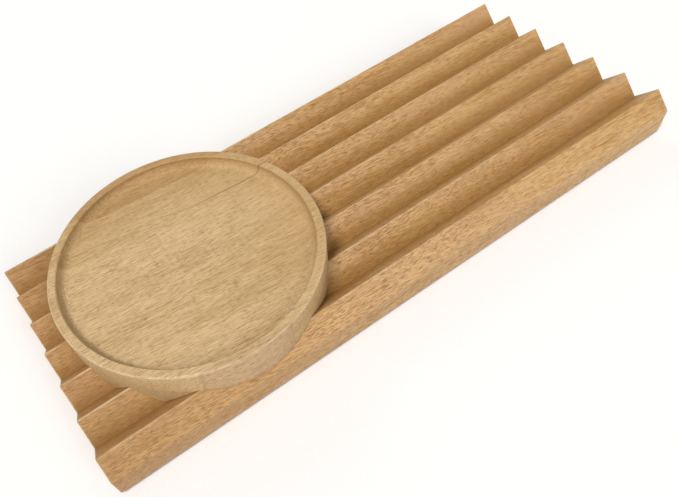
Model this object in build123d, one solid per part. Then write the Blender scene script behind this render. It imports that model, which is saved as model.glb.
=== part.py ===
from build123d import *
from math import sqrt
import os

# Desk organizer: a beech board with V-shaped pen grooves along its length, and a round
# beech dish whose underside has matching teeth, so that it nests in the grooves and
# slides along them. Four rubber pads under the board keep it from slipping.
#
# Millimetres. +X runs along the grooves, +Y to the back, +Z up. The origin is the
# middle of the board's footprint, on the surface that the pads stand on.

# Board
BOARD_LENGTH = 300.0
BOARD_THICKNESS = 20.0      # underside to crests
GROOVE_PITCH = 18.0
GROOVE_COUNT = 6
GROOVE_DEPTH = GROOVE_PITCH / 2     # the V faces stand at 45 degrees
EDGE_CHAMFER = 8.0          # 45 degree slope outside the first and the last crest
EDGE_ROUND = 1.5            # where that slope meets the board's side
CREST_ROUND = 0.5
VALLEY_ROUND = 0.25
BOARD_CORNER_ROUND = 0.8    # lower long edges
END_EASE = 0.4              # sanded edge round each end face

# Dish
DISH_RADIUS = 60.0
DISH_CENTRE_X = -79.0       # where it stands, 11 mm in from the board's left end
DISH_ABOVE_CRESTS = 12.0
RIM_WIDTH = 4.0
RECESS_DEPTH = 5.0
RECESS_FILLET = 4.0         # where the recess's wall runs into its floor
RIM_OUTER_ROUND = 0.8
RIM_INNER_EASE = 0.4        # sanded edge between the rim and the recess's wall
TOOTH_TIP_ROUND = 0.5
TOOTH_ROOT_ROUND = 0.3
NEST_GAP = 0.2              # between the V faces of board and dish
SEAM_TURN = -5.0            # puts the round faces' seam on a V face, clear of the tooth roots

# The dish is turned from a glued-up panel. Its joints are upright planes, turned a
# little from the grooves, at these distances behind the dish's middle.
GRAIN_ANGLE = -4.5
FRONT_JOINT = -56.7
BACK_JOINT = 25.0
REAR_JOINT = 45.0

# Pads
PAD_RADIUS = 6.0
PAD_THICKNESS = 1.5
PAD_ROUND = 0.4
PAD_INSET = 15.0            # from the board's sides to a pad's middle

UNDERSIDE = PAD_THICKNESS
CREST_LEVEL = UNDERSIDE + BOARD_THICKNESS
VALLEY_LEVEL = CREST_LEVEL - GROOVE_DEPTH
RIM_LEVEL = CREST_LEVEL + DISH_ABOVE_CRESTS
RECESS_FLOOR = RIM_LEVEL - RECESS_DEPTH
OUTER_CREST_Y = GROOVE_COUNT * GROOVE_PITCH / 2
BOARD_HALF_WIDTH = OUTER_CREST_Y + EDGE_CHAMFER
CHAMFER_LEVEL = CREST_LEVEL - EDGE_CHAMFER


def grooved_outline():
    """The top of the board's section as (y, z) corners, front to back, with its crests and its valleys."""
    crests = []
    valleys = []
    top = [(-BOARD_HALF_WIDTH, CHAMFER_LEVEL)]
    for i in range(GROOVE_COUNT + 1):
        crest = (-OUTER_CREST_Y + i * GROOVE_PITCH, CREST_LEVEL)
        crests.append(crest)
        top.append(crest)
        if i < GROOVE_COUNT:
            valley = (crest[0] + GROOVE_PITCH / 2, VALLEY_LEVEL)
            valleys.append(valley)
            top.append(valley)
    top.append((BOARD_HALF_WIDTH, CHAMFER_LEVEL))
    return top, crests, valleys


def corners_at(face, points):
    """The vertices of a flat face that lie at the given (y, z) points."""
    found = []
    for vertex in face.vertices():
        for y, z in points:
            if abs(vertex.Y - y) < 0.01 and abs(vertex.Z - z) < 0.01:
                found.append(vertex)
    return found


def section(points):
    """A face in the YZ plane from (y, z) corners."""
    return Face(Wire.make_polygon([(0, y, z) for y, z in points], close=True))


def rounded(face, points, radius):
    """The same face with the corners at these points rounded."""
    return face.fillet_2d(radius, corners_at(face, points))


def along_x(face, length):
    """A bar of this section, centred on the origin."""
    bar = extrude(face, amount=length / 2, dir=(1, 0, 0), both=True)
    return bar.solids()[0]


def base_board():
    top, crests, valleys = grooved_outline()
    bottom = [(BOARD_HALF_WIDTH, UNDERSIDE), (-BOARD_HALF_WIDTH, UNDERSIDE)]
    face = section(top + bottom)
    face = rounded(face, crests, CREST_ROUND)
    face = rounded(face, [top[0], top[-1]], EDGE_ROUND)
    face = rounded(face, valleys, VALLEY_ROUND)
    face = rounded(face, bottom, BOARD_CORNER_ROUND)
    board = along_x(face, BOARD_LENGTH)
    ends = board.faces().sort_by(Axis.X)
    return chamfer(ends[0].edges() + ends[-1].edges(), END_EASE).solids()[0]


def groove_cutter():
    """Takes away the board's ridges, lifted by the gap, and all below them."""
    lift = NEST_GAP * sqrt(2)
    reach = DISH_RADIUS + 20
    top, crests, valleys = grooved_outline()
    lifted = [(y, z + lift) for y, z in top]
    slope_end = CHAMFER_LEVEL + lift - (reach - BOARD_HALF_WIDTH)
    front = [(-reach, UNDERSIDE - 50), (-reach, slope_end)]
    back = [(reach, slope_end), (reach, UNDERSIDE - 50)]
    face = section(front + lifted[1:-1] + back)
    face = rounded(face, [(y, z + lift) for y, z in crests], TOOTH_ROOT_ROUND)
    face = rounded(face, [(y, z + lift) for y, z in valleys], TOOTH_TIP_ROUND)
    return along_x(face, 4 * DISH_RADIUS)


def vertices_at(face, point):
    """The vertices of a face in the XZ plane that lie at this (x, z) point."""
    x, z = point
    return [v for v in face.vertices() if abs(v.X - x) < 0.01 and abs(v.Z - z) < 0.01]


def dish_section():
    """Half of the dish's section in the XZ plane. Its underside is flat, at the level of the valleys."""
    inner = DISH_RADIUS - RIM_WIDTH
    corners = [
        (0, VALLEY_LEVEL),
        (DISH_RADIUS, VALLEY_LEVEL),
        (DISH_RADIUS, RIM_LEVEL),
        (inner, RIM_LEVEL),
        (inner, RECESS_FLOOR),
        (0, RECESS_FLOOR),
    ]
    rim_outer, rim_inner, floor_edge = corners[2:5]
    face = Face(Wire.make_polygon([(x, 0, z) for x, z in corners], close=True))
    face = face.fillet_2d(RIM_OUTER_ROUND, vertices_at(face, rim_outer))
    face = face.chamfer_2d(RIM_INNER_EASE, RIM_INNER_EASE, vertices_at(face, rim_inner))
    return face.fillet_2d(RECESS_FILLET, vertices_at(face, floor_edge))


def dish():
    """The whole dish, about the Z axis."""
    turned = Rot(0, 0, SEAM_TURN) * revolve(dish_section(), Axis.Z, 360)
    return (turned - groove_cutter()).solids()[0]


def joint_slab(start, stop):
    """Everything between two upright joint planes, given by their distance behind the dish's middle."""
    size = 4 * DISH_RADIUS
    slab = Pos(0, (start + stop) / 2, RIM_LEVEL) * Box(size, stop - start, size)
    return Rot(0, 0, GRAIN_ANGLE) * slab


def dish_staves():
    """The dish's four glued staves, from front to back, in place on the board."""
    whole = dish()
    beyond = 2 * DISH_RADIUS
    joints = [-beyond, FRONT_JOINT, BACK_JOINT, REAR_JOINT, beyond]
    names = ["dish_front_stave", "dish_main_stave", "dish_back_stave", "dish_rear_stave"]
    staves = {}
    for name, start, stop in zip(names, joints, joints[1:]):
        stave = whole & joint_slab(start, stop)
        staves[name] = Pos(DISH_CENTRE_X, 0, 0) * stave.solids()[0]
    return staves


def pad():
    """One round pad on the Z axis, with its lower edge rounded."""
    disc = Pos(0, 0, PAD_THICKNESS / 2) * Cylinder(PAD_RADIUS, PAD_THICKNESS)
    lower_edge = disc.edges().filter_by(GeomType.CIRCLE).sort_by(Axis.Z)[0]
    return fillet(lower_edge, PAD_ROUND)


def pads():
    x = BOARD_LENGTH / 2 - PAD_INSET
    y = BOARD_HALF_WIDTH - PAD_INSET
    return {
        "pad_front_left": Pos(-x, -y, 0) * pad(),
        "pad_front_right": Pos(x, -y, 0) * pad(),
        "pad_back_left": Pos(-x, y, 0) * pad(),
        "pad_back_right": Pos(x, y, 0) * pad(),
    }


nodes = {"base_board": base_board()}
nodes.update(dish_staves())
nodes.update(pads())

os.makedirs("parts", exist_ok=True)
for name, solid in nodes.items():
    export_step(solid, f"parts/{name}.step")
    print(name, round(solid.volume / 1000, 2), "cm3")
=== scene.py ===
"""Looks of the desk organizer: a V-grooved beech board and a round beech dish nested in its grooves."""
from math import cos, radians, sin

import bpy
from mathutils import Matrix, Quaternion, Vector


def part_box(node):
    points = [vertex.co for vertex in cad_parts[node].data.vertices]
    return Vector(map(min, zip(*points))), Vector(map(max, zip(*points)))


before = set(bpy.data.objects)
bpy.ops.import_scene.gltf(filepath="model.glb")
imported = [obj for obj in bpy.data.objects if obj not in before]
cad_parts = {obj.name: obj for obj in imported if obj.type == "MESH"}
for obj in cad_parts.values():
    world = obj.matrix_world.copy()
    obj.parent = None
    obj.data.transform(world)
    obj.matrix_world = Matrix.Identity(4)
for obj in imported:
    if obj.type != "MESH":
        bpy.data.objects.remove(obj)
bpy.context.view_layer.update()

MM = 0.001

# Sizes read from the CAD parts
board_low, board_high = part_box("base_board")
main_low, main_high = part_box("dish_main_stave")
BOARD_HALF_LENGTH = (board_high.x - board_low.x) / 2
CREST_LEVEL = board_high.z
RIM_LEVEL = main_high.z
DISH_RADIUS = (main_high.x - main_low.x) / 2
DISH_MIDDLE = Vector(((main_high.x + main_low.x) / 2, 0, 0))

# The grooves, and the dish's glue joints behind its middle, as in the CAD
GROOVE_PITCH = 18 * MM
GROOVE_DEPTH = GROOVE_PITCH / 2
OUTER_CREST = 3 * GROOVE_PITCH
FRONT_JOINT = -56.7 * MM
BACK_JOINT = 25 * MM
REAR_JOINT = 45 * MM

# How far the wood's grain turns from the grooves. The dish's joints turn with its grain.
BOARD_GRAIN = radians(-6)
DISH_GRAIN = radians(-4.5)

# Colours laid over the wood, among them a painted highlight and painted shade
WEAR_AND_HIGHLIGHT_COLOUR = (0.86, 0.68, 0.46, 1)
GROOVE_SHADE = (0.33, 0.16, 0.025, 1)
BOARD_LEFT_WOOD = (0.36, 0.18, 0.06, 1)
DISH_FAR_SIDE_SHADE = (0.46, 0.265, 0.085, 1)
WALL_FOOT_SHADE = (0.2, 0.1, 0.04, 1)
GLUE_LINE = (0.2, 0.11, 0.045, 1)

# How much of these shows, and how much smoother worn wood is
BOARD_WEAR_AND_HIGHLIGHT = 0.45
RIM_WEAR_AND_HIGHLIGHT = 0.28
GROOVE_SHADE_AMOUNT = 0.62
BOARD_LEFT_TONE = 0.42
DISH_FAR_SIDE_SHADE_AMOUNT = 0.3
WALL_FOOT_SHADE_AMOUNT = 0.45
JOINT_TONE = 0.8
FRONT_JOINT_TONE = 0.15
WORN_SMOOTHNESS = 0.08

# Spans that hold most of a noise's values
NARROW = (0.35, 0.65)
WIDE = (0.3, 0.7)

# The camera
CAMERA_AT = Vector((-115.7, -163.8, 223.6)) * MM
CAMERA_AIM = Vector((-60.7, -21.5, 21.5)) * MM
CAMERA_ROLL = radians(-14.7)
CAMERA_LENS = 31.6
CAMERA_SHIFT = (0.13, 0.04)

# The sky's strength as it lights things, and as it is seen
AMBIENT_LIGHT = 0.33
BACKDROP_LIGHT = 0.95

FLOOR_HALF_SIZE = 3.0


class Graph:
    """A material's node tree, with short calls for the nodes that it is made of."""

    def __init__(self, name):
        self.material = bpy.data.materials.new(name)
        self.material.use_nodes = True
        self.tree = self.material.node_tree
        self.tree.nodes.clear()

    def node(self, kind, inputs=None, **settings):
        made = self.tree.nodes.new(kind)
        for key, value in settings.items():
            setattr(made, key, value)
        for key, value in (inputs or {}).items():
            self.feed(made.inputs[key], value)
        return made

    def feed(self, socket, value):
        if isinstance(value, bpy.types.NodeSocket):
            self.tree.links.new(value, socket)
        else:
            socket.default_value = value

    def place(self):
        return self.node("ShaderNodeTexCoord").outputs["Object"]

    def normal(self):
        return self.node("ShaderNodeTexCoord").outputs["Normal"]

    def math(self, operation, a, b=0.0, clamp=False):
        inputs = {0: a, 1: b}
        return self.node("ShaderNodeMath", inputs, operation=operation, use_clamp=clamp).outputs[0]

    def times(self, value, *factors):
        for factor in factors:
            value = self.math("MULTIPLY", value, factor)
        return value

    def plus(self, a, b, clamp=False):
        return self.math("ADD", a, b, clamp)

    def minus(self, a, b):
        return self.math("SUBTRACT", a, b)

    def absolute(self, value):
        return self.math("ABSOLUTE", value)

    def vector(self, operation, a, b):
        return self.node("ShaderNodeVectorMath", {0: a, 1: b}, operation=operation).outputs[0]

    def dot(self, a, b):
        made = self.node("ShaderNodeVectorMath", {0: a, 1: b}, operation="DOT_PRODUCT")
        return made.outputs["Value"]

    def length(self, vector):
        made = self.node("ShaderNodeVectorMath", {0: vector}, operation="LENGTH")
        return made.outputs["Value"]

    def parts(self, vector):
        return self.node("ShaderNodeSeparateXYZ", {0: vector}).outputs

    def join(self, x, y, z):
        return self.node("ShaderNodeCombineXYZ", {0: x, 1: y, 2: z}).outputs[0]

    def fade(self, value, start, stop, low=0.0, high=1.0):
        """low before start, high after stop, and a smooth step between. start may be above stop."""
        inputs = {"Value": value, "From Min": start, "From Max": stop, "To Min": low, "To Max": high}
        return self.node("ShaderNodeMapRange", inputs, interpolation_type="SMOOTHSTEP").outputs[0]

    def mix(self, factor, a, b):
        """a and b are colours, which have their own sockets on the node."""
        made = self.node("ShaderNodeMix", data_type="RGBA")
        for index, value in ((0, factor), (6, a), (7, b)):
            self.feed(made.inputs[index], value)
        return made.outputs[2]

    def noise(self, vector, detail=2.0, roughness=0.5, colour=False):
        inputs = {"Vector": vector, "Scale": 1.0, "Detail": detail, "Roughness": roughness}
        return self.node("ShaderNodeTexNoise", inputs).outputs[1 if colour else 0]

    def cells(self, vector):
        """Voronoi cells of size 1: the distance to the nearest cell's point, and each cell's colour."""
        made = self.node("ShaderNodeTexVoronoi", {"Vector": vector, "Scale": 1.0, "Randomness": 1.0})
        return made.outputs["Distance"], made.outputs["Color"]

    def stretched(self, vector, along, across, height, offset=0.0):
        """The same space with a cell of these sizes made into a unit cube."""
        inputs = {
            "Vector": vector,
            "Location": (offset, offset * 0.37, offset * 0.71),
            "Scale": (1 / along, 1 / across, 1 / height),
        }
        return self.node("ShaderNodeMapping", inputs).outputs[0]

    def ramp(self, value, *stops):
        """A grey ramp through (position, value) stops."""
        made = self.node("ShaderNodeValToRGB", {0: value})
        elements = made.color_ramp.elements
        while len(elements) < len(stops):
            elements.new(0.5)
        for element, (position, level) in zip(elements, stops):
            element.position = position
            element.color = (level, level, level, 1)
        return made.outputs[0]

    def surface(self, colour, roughness, height, bump, **constants):
        """The shader. bump is the height's full range in metres, and the constants go on the
        shader's own sockets."""
        inputs = {"Strength": 1.0, "Distance": bump, "Height": height}
        normal = self.node("ShaderNodeBump", inputs).outputs[0]
        inputs = {"Base Color": colour, "Roughness": roughness, "Normal": normal}
        shader = self.node("ShaderNodeBsdfPrincipled", inputs)
        for name, value in constants.items():
            shader.inputs[name.replace("_", " ")].default_value = value
        self.node("ShaderNodeOutputMaterial", {"Surface": shader.outputs[0]})
        return self.material


def grain_space(g, middle, turn):
    """Object coordinates in millimetres about middle, turned so that X runs along the grain."""
    about = g.vector("SUBTRACT", g.place(), middle)
    inputs = {"Vector": about, "Rotation": (0, 0, -turn), "Scale": (1 / MM,) * 3}
    return g.node("ShaderNodeMapping", inputs).outputs[0]


def sway(g, space, size, amount, seed):
    """How far the grain strays sideways, in waves of this length and width."""
    along, across = size
    wave = g.noise(g.stretched(space, along, across, across, seed), 2.0, colour=True)
    return g.vector("MULTIPLY", g.vector("SUBTRACT", wave, (0.5, 0.5, 0.5)), (0.0, amount, amount))


def streaks(g, space, size, seed, detail, roughness=0.5):
    """Noise drawn out along the grain, in streaks of this length and width."""
    along, across = size
    return g.noise(g.stretched(space, along, across, across, seed), detail, roughness)


def dashes(g, space, size, seed):
    """Short dashes along the grain, as where a wood's rays are cut: up to 1 inside one, and
    fainter in some."""
    along, across = size
    distance, random = g.cells(g.stretched(space, along, across, across, seed))
    return g.times(g.fade(distance, 0.42, 0.24), g.fade(g.parts(random)[0], 0.0, 0.9))


def growth_rings(g, space, pith, spacing):
    """Growth rings about a pith line along the grain: low in early wood, 1 in the thin late wood."""
    _, y, z = g.parts(space)
    out = g.join(0.0, g.minus(y, pith[0]), g.minus(z, pith[1]))
    phase = g.math("FRACT", g.math("DIVIDE", g.length(out), spacing))
    return g.ramp(phase, (0.0, 0.1), (0.55, 0.3), (0.88, 1.0), (1.0, 0.1))


def beech(name, light, dark, blush, fleck, glint, turn, pith, spacing, fleck_size, pore_size,
          fleck_depth, edges, middle=Vector(), seed=0.0, ring_depth=0.3, flecked_to=None):
    """Beech with growth rings, fibre, broad tone and the short dark flecks of its rays.

    All patterns are solid ones that run through the piece, so end faces show them end on. Their
    sizes are in millimetres along and across the grain, and each has its own step from the seed.
    The flecks grow fainter to the right over the stretch flecked_to. edges adds the worn edges with
    their painted highlight, the painted shade and whatever else depends on the piece's shape.
    """
    g = Graph(name)
    space = grain_space(g, middle, turn)
    curved = g.vector("ADD", space, sway(g, space, (110, 24), 7.0, seed))
    wavy = g.vector("ADD", curved, sway(g, space, (22, 4), 0.5, seed + 3))

    rings = growth_rings(g, wavy, pith, spacing)
    tone = streaks(g, curved, (130, 9), seed + 11, 3.0)
    streak = streaks(g, wavy, (30, 1.5), seed + 31, 2.0, 0.6)
    fibre = streaks(g, wavy, (9, 0.5), seed + 23, 1.0, 0.6)
    rays = dashes(g, wavy, fleck_size, seed + 41)
    pores = g.fade(streaks(g, wavy, pore_size, seed + 57, 1.0), 0.5, 0.63)
    glints = g.fade(streaks(g, wavy, pore_size, seed + 71, 1.0), 0.52, 0.66)

    depth = g.times(rings, ring_depth)
    depth = g.plus(depth, g.fade(tone, *NARROW, -0.1, 0.4))
    depth = g.plus(depth, g.fade(streak, *NARROW, -0.15, 0.25))
    depth = g.plus(depth, g.fade(fibre, *WIDE, -0.35, 0.5), clamp=True)
    colour = g.mix(depth, light, dark)
    pink = streaks(g, curved, (90, 14), seed + 67, 2.0)
    colour = g.mix(g.fade(pink, 0.4, 0.65, 0.0, 0.5), colour, blush)

    # Pale glints, then the pores and the rays, which come and go in long patches
    patch = g.fade(streaks(g, curved, (60, 12), seed + 83, 1.0), *NARROW, 0.7, 1.0)
    if flecked_to:
        patch = g.times(patch, g.fade(g.parts(space)[0], *flecked_to, 1.0, 0.4))
    colour = g.mix(g.times(glints, 0.25), colour, glint)
    colour = g.mix(g.times(pores, patch, fleck_depth * 0.6), colour, fleck)
    colour = g.mix(g.times(rays, patch, fleck_depth), colour, fleck)

    # End grain is darker, with the rings as arcs
    along = g.dot(g.normal(), (cos(turn), sin(turn), 0))
    end_grain = g.fade(g.absolute(along), 0.6, 1.0)
    arcs = g.plus(g.times(rings, 0.4), 0.2)
    colour = g.mix(g.times(end_grain, arcs), colour, dark)

    roughness = g.plus(g.fade(fibre, *WIDE, 0.46, 0.6), g.times(rays, 0.1))
    height = g.minus(g.times(fibre, 0.5), g.times(rays, 0.5))
    height = g.minus(height, g.times(pores, 0.4))
    colour, roughness = edges(g, colour, roughness)
    return g.surface(colour, roughness, height, 0.12 * MM, Specular_IOR_Level=0.35)


def worn_and_highlighted(g, colour, amount, level):
    """The colour made paler where amount is 1: rubbed wear that is partly a painted highlight."""
    return g.mix(g.times(amount, level), colour, WEAR_AND_HIGHLIGHT_COLOUR)


def smoothed(g, roughness, amount):
    """The roughness of wood that is worn where amount is 1."""
    return g.minus(roughness, g.times(amount, WORN_SMOOTHNESS))


def board_edges(g, colour, roughness):
    """Crests and end edges rubbed pale and smooth, partly as wear and partly as a painted highlight,
    painted shade in the grooves towards the bottom, and a darker tone towards the left."""
    place = g.place()
    x, y, z = g.parts(place)
    patchy = g.noise(g.stretched(place, 14 * MM, 3 * MM, 3 * MM, 5.0), 2.0)
    patchy = g.fade(patchy, *NARROW, 0.1, 1.0)
    crest = g.fade(z, CREST_LEVEL - 0.5 * MM, CREST_LEVEL - 0.05 * MM)
    endwise = g.absolute(g.parts(g.normal())[0])

    # The ends' wear and painted highlight lie on their sanded edges only, not on the flat face
    ends = g.fade(g.absolute(x), BOARD_HALF_LENGTH - 0.7 * MM, BOARD_HALF_LENGTH - 0.2 * MM)
    ends = g.times(ends, g.fade(endwise, 0.95, 0.8))
    wear_and_highlight = g.times(g.math("MAXIMUM", crest, g.times(ends, 0.5)), patchy)

    # Painted shade in the grooves, deeper towards the bottom. Only the grooves' own faces get it: not
    # the sides, the underside or the ends
    grooved = g.fade(g.absolute(y), OUTER_CREST, OUTER_CREST - 1 * MM)
    above = g.fade(z, board_low.z + 9 * MM, board_low.z + 10 * MM)
    painted_groove_shade = g.fade(z, CREST_LEVEL - 1.5 * MM, CREST_LEVEL - 0.8 * GROOVE_DEPTH)
    painted_groove_shade = g.times(painted_groove_shade, grooved, above, g.fade(endwise, 0.7, 0.3))
    colour = g.mix(g.times(painted_groove_shade, GROOVE_SHADE_AMOUNT), colour, GROOVE_SHADE)

    left = g.fade(x, 10 * MM, -BOARD_HALF_LENGTH, 0.0, BOARD_LEFT_TONE)
    colour = g.mix(left, colour, BOARD_LEFT_WOOD)
    # The crests' pale edges, partly wear and partly a painted highlight, fade out towards the right
    leftward = g.fade(x, BOARD_HALF_LENGTH, -BOARD_HALF_LENGTH)
    colour = worn_and_highlighted(g, colour, g.times(wear_and_highlight, leftward), BOARD_WEAR_AND_HIGHLIGHT)
    return colour, smoothed(g, roughness, wear_and_highlight)


def dish_edges(joint, shows_from):
    """What the dish's shape adds: a worn rim with a painted highlight on its outer edge, painted shade
    to the right and the back, painted shade at the foot of the wall above the grooves, and the thin
    dark lines of two glue joints. One of them is at this plane, and shows only from this distance
    right of the middle. The other is at the front."""

    def add(g, colour, roughness):
        place = g.vector("SUBTRACT", g.place(), DISH_MIDDLE)
        x, y, z = g.parts(place)
        radius = g.length(g.join(x, y, 0.0))
        patchy = g.noise(g.stretched(place, 9 * MM, 9 * MM, 3 * MM, 7.0), 2.0)
        patchy = g.fade(patchy, 0.3, 0.65, 0.3, 1.0)
        # The rim's outer edge made pale: partly wear, partly a painted highlight
        outer = g.fade(radius, DISH_RADIUS - 0.9 * MM, DISH_RADIUS - 0.3 * MM)
        top = g.fade(z, RIM_LEVEL - 1.1 * MM, RIM_LEVEL - 0.4 * MM)
        wear_and_highlight = g.times(outer, top, patchy)

        # Painted shade: the dish darker to the right and the back, where less light falls
        right = g.fade(x, -10 * MM, DISH_RADIUS, 0.0, DISH_FAR_SIDE_SHADE_AMOUNT)
        back = g.fade(y, 10 * MM, DISH_RADIUS, 0.0, DISH_FAR_SIDE_SHADE_AMOUNT)
        colour = g.mix(g.plus(right, back), colour, DISH_FAR_SIDE_SHADE)
        colour = worn_and_highlighted(g, colour, wear_and_highlight, RIM_WEAR_AND_HIGHLIGHT)

        # The height above the board's grooved surface, from the fall of the V faces
        fall = g.math("PINGPONG", g.plus(y, OUTER_CREST), GROOVE_DEPTH)
        above = g.plus(g.minus(z, CREST_LEVEL), fall)
        # Painted shade at the foot of the wall, where it meets the grooves
        foot_shade = g.fade(above, 1.1 * MM, 0.3 * MM, 0.0, WALL_FOOT_SHADE_AMOUNT)
        colour = g.mix(foot_shade, colour, WALL_FOOT_SHADE)

        behind = g.plus(g.times(x, -sin(DISH_GRAIN)), g.times(y, cos(DISH_GRAIN)))
        shown = g.fade(x, shows_from - 15 * MM, shows_from + 15 * MM, 0.0, JOINT_TONE)
        for plane, strength in ((joint, shown), (FRONT_JOINT, FRONT_JOINT_TONE)):
            off = g.absolute(g.minus(behind, plane))
            line = g.times(g.fade(off, 0.3 * MM, 0.1 * MM), strength)
            colour = g.mix(line, colour, GLUE_LINE)
        return colour, smoothed(g, roughness, wear_and_highlight)

    return add


def rubber(name):
    """Dull dark rubber with a fine grain and a little dust."""
    g = Graph(name)
    place = g.place()
    grain = g.noise(g.stretched(place, 0.35 * MM, 0.35 * MM, 0.35 * MM), 3.0, 0.6)
    dust = g.fade(g.noise(g.stretched(place, 4 * MM, 4 * MM, 4 * MM, 9.0), 3.0), 0.45, 0.75)
    colour = g.mix(grain, (0.045, 0.043, 0.04, 1), (0.075, 0.072, 0.068, 1))
    colour = g.mix(g.times(dust, 0.3), colour, (0.2, 0.19, 0.17, 1))
    return g.surface(colour, g.fade(grain, *WIDE, 0.65, 0.85), grain, 0.04 * MM)


def paint(node, material):
    """Gives a CAD node its material."""
    for material_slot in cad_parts[node].material_slots:
        material_slot.material = material


def paint_board():
    paint("base_board", beech(
        "beech_board",
        light=(0.63, 0.39, 0.165, 1), dark=(0.43, 0.225, 0.065, 1), blush=(0.61, 0.37, 0.19, 1),
        fleck=(0.2, 0.095, 0.03, 1), glint=(0.72, 0.47, 0.22, 1),
        turn=BOARD_GRAIN, pith=(35, -70), spacing=4.2,
        fleck_size=(5.5, 0.34), pore_size=(9.0, 0.28), fleck_depth=0.85, flecked_to=(0, 130),
        edges=board_edges))


def paint_dish():
    # Light and dark wood, the joint that the stave is seen to end at, where that starts, and a seed
    staves = {
        "dish_main_stave":
            ((0.65, 0.455, 0.24, 1), (0.49, 0.315, 0.135, 1), BACK_JOINT, 20 * MM, 2.0),
        "dish_front_stave":
            ((0.59, 0.395, 0.215, 1), (0.48, 0.305, 0.15, 1), REAR_JOINT, 0.0, 13.0),
        "dish_back_stave":
            ((0.61, 0.42, 0.215, 1), (0.46, 0.295, 0.125, 1), BACK_JOINT, 20 * MM, 29.0),
        "dish_rear_stave":
            ((0.5, 0.315, 0.145, 1), (0.36, 0.21, 0.085, 1), REAR_JOINT, 60 * MM, 47.0),
    }
    for node, (light, dark, joint, shows_from, seed) in staves.items():
        paint(node, beech(
            node.replace("dish", "beech"), light, dark, blush=light,
            fleck=(0.25, 0.135, 0.05, 1), glint=(0.74, 0.55, 0.32, 1),
            middle=DISH_MIDDLE, turn=DISH_GRAIN, seed=seed, pith=(-20 + seed, -110), spacing=3.1,
            fleck_size=(3.0, 0.42), pore_size=(7.0, 0.4), fleck_depth=0.6, ring_depth=0.2,
            edges=dish_edges(joint, shows_from)))


def paint_pads():
    pad_rubber = rubber("pad_rubber")
    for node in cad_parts:
        if node.startswith("pad_"):
            paint(node, pad_rubber)


def add_floor():
    mesh = bpy.data.meshes.new("floor")
    half = FLOOR_HALF_SIZE
    corners = [(-half, -half, 0), (half, -half, 0), (half, half, 0), (-half, half, 0)]
    mesh.from_pydata(corners, [], [(0, 1, 2, 3)])
    floor = bpy.data.objects.new("floor", mesh)
    bpy.context.scene.collection.objects.link(floor)
    g = Graph("floor_pale")
    grain = g.noise(g.stretched(g.place(), 2 * MM, 2 * MM, 2 * MM), 2.0)
    colour = g.mix(grain, (0.9, 0.9, 0.9, 1), (0.93, 0.93, 0.93, 1))
    mesh.materials.append(g.surface(colour, 0.8, grain, 0.02 * MM))


def add_light(name, towards, angle, strength, colour=(1, 1, 1)):
    """A far light in this direction, as wide as this angle in degrees. It lights the floor evenly."""
    data = bpy.data.lights.new(name, "SUN")
    data.angle = radians(angle)
    data.energy = strength
    data.color = colour
    light = bpy.data.objects.new(name, data)
    light.rotation_mode = "QUATERNION"
    light.rotation_quaternion = Vector(towards).to_track_quat("Z", "Y")
    bpy.context.scene.collection.objects.link(light)


def add_sky():
    """A plain sky that the camera sees brighter than it lights things."""
    world = bpy.data.worlds.new("studio")
    world.use_nodes = True
    nodes, links = world.node_tree.nodes, world.node_tree.links
    seen = nodes.new("ShaderNodeMapRange")
    seen.inputs["To Min"].default_value = AMBIENT_LIGHT
    seen.inputs["To Max"].default_value = BACKDROP_LIGHT
    links.new(nodes.new("ShaderNodeLightPath").outputs["Is Camera Ray"], seen.inputs["Value"])
    background = nodes["Background"]
    background.inputs["Color"].default_value = (1, 1, 1, 1)
    links.new(seen.outputs[0], background.inputs["Strength"])
    bpy.context.scene.world = world
    bpy.context.scene.view_settings.view_transform = "Standard"


def add_camera():
    data = bpy.data.cameras.new("camera")
    data.lens = CAMERA_LENS
    data.shift_x, data.shift_y = CAMERA_SHIFT
    data.clip_start = 10 * MM
    camera = bpy.data.objects.new("camera", data)
    camera.location = CAMERA_AT
    camera.rotation_mode = "QUATERNION"
    level = (CAMERA_AIM - CAMERA_AT).to_track_quat("-Z", "Y")
    camera.rotation_quaternion = level @ Quaternion((0, 0, 1), CAMERA_ROLL)
    bpy.context.scene.collection.objects.link(camera)
    bpy.context.scene.camera = camera


paint_board()
paint_dish()
paint_pads()
add_floor()
add_light("key", (-0.95, -0.4, 1.9), angle=16, strength=2.05, colour=(1.0, 0.985, 0.96))
add_light("fill", (0.3, -1.8, 1.2), angle=32, strength=0.9)
add_light("back", (0.3, 1.7, 1.1), angle=32, strength=0.35, colour=(1.0, 0.9, 0.76))
add_sky()
add_camera()
